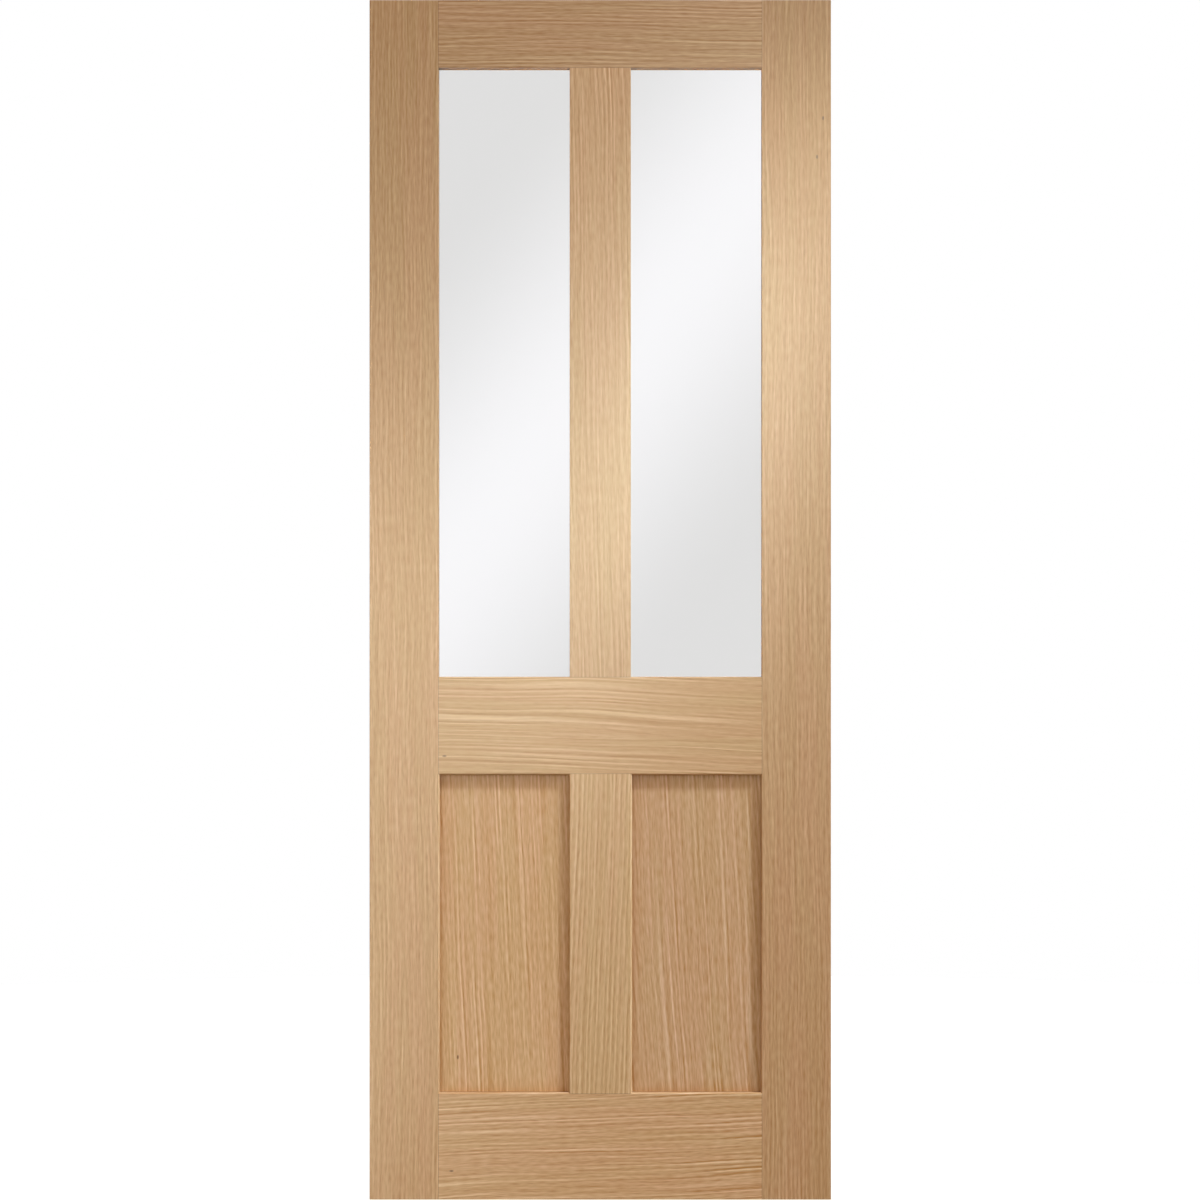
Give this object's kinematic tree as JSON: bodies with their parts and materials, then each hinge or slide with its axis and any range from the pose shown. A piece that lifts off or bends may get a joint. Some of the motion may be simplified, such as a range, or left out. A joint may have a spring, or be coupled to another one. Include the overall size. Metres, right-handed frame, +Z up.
{
  "type": "glazed interior door leaf",
  "caption": "Oak interior door leaf with tall clear glass panes above a lock rail and flat recessed panels below, square framed with a centre muntin; supplied unhung.",
  "frame": {"origin": "bottom corner of the hinge edge, in the middle of the thickness", "axes": "+X across the leaf from the hinge edge to the latch edge, +Y through it from the front face to the back face where the beads are, +Z up"},
  "size_m": [0.762, 0.035, 1.981],
  "materials": {
    "oak_veneered_core": "matt lacquer",
    "solid_oak_lipping": "matt lacquer",
    "oak_veneered_panel": "matt lacquer",
    "solid_oak_bead": "matt lacquer",
    "clear_glass": "clear",
    "glazing_tape": "matt"
  },
  "bodies": {
    "root": {"left_stile_core": "oak_veneered_core", "left_stile_outer_lipping": "solid_oak_lipping", "left_stile_inner_lipping": "solid_oak_lipping", "right_stile_core": "oak_veneered_core", "right_stile_inner_lipping": "solid_oak_lipping", "right_stile_outer_lipping": "solid_oak_lipping", "bottom_rail_core": "oak_veneered_core", "bottom_rail_lower_lipping": "solid_oak_lipping", "bottom_rail_upper_lipping": "solid_oak_lipping", "lock_rail_core": "oak_veneered_core", "lock_rail_lower_lipping": "solid_oak_lipping", "lock_rail_upper_lipping": "solid_oak_lipping", "top_rail_core": "oak_veneered_core", "top_rail_lower_lipping": "solid_oak_lipping", "top_rail_upper_lipping": "solid_oak_lipping", "lower_muntin_core": "oak_veneered_core", "lower_muntin_left_lipping": "solid_oak_lipping", "lower_muntin_right_lipping": "solid_oak_lipping", "upper_muntin_core": "oak_veneered_core", "upper_muntin_left_lipping": "solid_oak_lipping", "upper_muntin_right_lipping": "solid_oak_lipping", "left_panel": "oak_veneered_panel", "left_pane": "clear_glass", "left_pane_front_tape": "glazing_tape", "left_pane_back_tape": "glazing_tape", "left_pane_lock_rail_bead": "solid_oak_bead", "left_pane_muntin_bead": "solid_oak_bead", "left_pane_top_rail_bead": "solid_oak_bead", "left_pane_stile_bead": "solid_oak_bead", "right_panel": "oak_veneered_panel", "right_pane": "clear_glass", "right_pane_front_tape": "glazing_tape", "right_pane_back_tape": "glazing_tape", "right_pane_lock_rail_bead": "solid_oak_bead", "right_pane_muntin_bead": "solid_oak_bead", "right_pane_top_rail_bead": "solid_oak_bead", "right_pane_stile_bead": "solid_oak_bead"}
  },
  "joints": []
}
